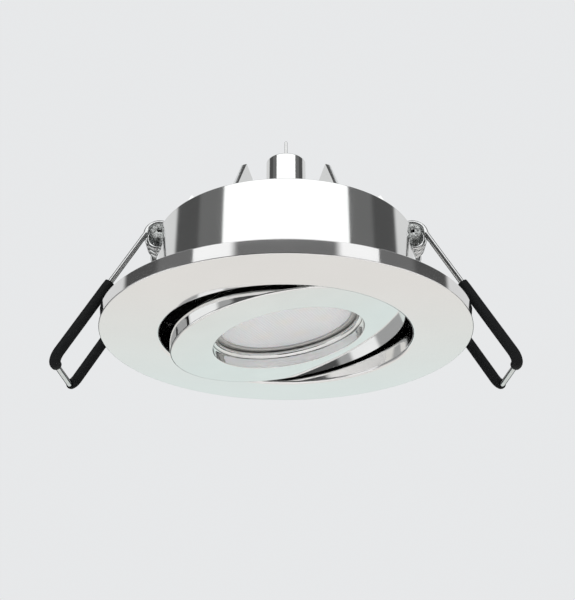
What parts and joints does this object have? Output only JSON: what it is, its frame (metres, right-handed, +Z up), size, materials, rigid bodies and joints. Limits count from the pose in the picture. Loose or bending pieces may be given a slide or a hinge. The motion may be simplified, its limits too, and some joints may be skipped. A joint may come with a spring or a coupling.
{
  "type": "tilting soffit downlight",
  "caption": "Recessed round soffit downlight with a tilting polished inner ring, a finned straight can and two sprung U-shaped arms with black sleeves.",
  "frame": {"origin": "centre of the plane where the gasket in the trim's back meets the ceiling", "axes": "+Z up into the ceiling void, +X to the right arm, -Y towards the viewer of the picture"},
  "size_m": [0.1098, 0.09, 0.0689],
  "materials": {
    "polished_aluminium": "satin polished",
    "mirror_ring": "mirror polished",
    "bright_can": "bright polished",
    "spring_steel": "bright drawn wire",
    "spring_plate": "satin plated",
    "steel_screw": "zinc plated",
    "tinned_pin": "tinned",
    "bare_aluminium": "as machined",
    "satin_bezel": "satin",
    "frosted_lens": "frosted, with fine diagonal prisms",
    "black_sleeve": "satin black",
    "foam_rubber": "closed-cell foam",
    "ivory_plastic": "matte",
    "white_plastic": "gloss",
    "green_board": "solder mask",
    "white_board": "white solder mask",
    "black_chip": "moulded",
    "capacitor_sleeve": "shrink sleeve",
    "inductor_winding": "enamelled winding",
    "red_lead": "wire insulation",
    "led_phosphor": "phosphor",
    "grey_pad": "soft silicone"
  },
  "bodies": {
    "can": {"trim_ring": "polished_aluminium", "ceiling_gasket": "foam_rubber", "can_housing": "bright_can", "can_screws": "steel_screw", "back_cover": "bright_can", "cover_gasket": "foam_rubber", "cover_screws": "steel_screw", "connector_shell": "bright_can", "connector_insulator": "ivory_plastic", "contact_pin": "tinned_pin", "connector_nut": "steel_screw", "driver_board": "green_board", "driver_board_screws": "steel_screw", "driver_capacitor": "capacitor_sleeve", "driver_inductor": "inductor_winding", "driver_chips": "black_chip", "feed_leads": "red_lead", "lamp_leads": "red_lead", "left_spring_bracket": "spring_plate", "left_bracket_rivets": "steel_screw", "left_spring_tube": "spring_plate", "right_spring_bracket": "spring_plate", "right_bracket_rivets": "steel_screw", "right_spring_tube": "spring_plate"},
    "lamp_head": {"gimbal_ring": "mirror_ring", "pivot_screws": "steel_screw", "tilt_washers": "white_plastic", "lens_snap_ring": "mirror_ring", "lens_bezel": "satin_bezel", "lens": "frosted_lens", "lens_gasket": "foam_rubber", "reflector": "white_plastic", "led_chips": "led_phosphor", "led_board": "white_board", "led_board_screws": "steel_screw", "thermal_pad": "grey_pad", "heat_sink": "bare_aluminium", "heat_sink_screws": "steel_screw"},
    "left_arm": {"left_spring_wire": "spring_steel", "left_near_sleeve": "black_sleeve", "left_far_sleeve": "black_sleeve"},
    "right_arm": {"right_spring_wire": "spring_steel", "right_near_sleeve": "black_sleeve", "right_far_sleeve": "black_sleeve"}
  },
  "joints": [
    {"name": "lamp_tilt", "type": "hinge", "parent": "can", "child": "lamp_head", "pos_m": [0, 0, 0.0015], "axis": [-0.1288, 0.9917, 0], "range_deg": [-10.3, 29.7], "deforming": ["lamp_leads"]},
    {"name": "left_arm_fold", "type": "hinge", "parent": "can", "child": "left_arm", "pos_m": [-0.0312, 0, 0.0212], "axis": [0, 1, 0], "range_deg": [0, 150], "stiffness_Nm_per_rad": 0.06, "springref_deg": -68.75},
    {"name": "right_arm_fold", "type": "hinge", "parent": "can", "child": "right_arm", "pos_m": [0.0312, 0, 0.0212], "axis": [0, -1, 0], "range_deg": [0, 150], "stiffness_Nm_per_rad": 0.06, "springref_deg": -68.75}
  ]
}
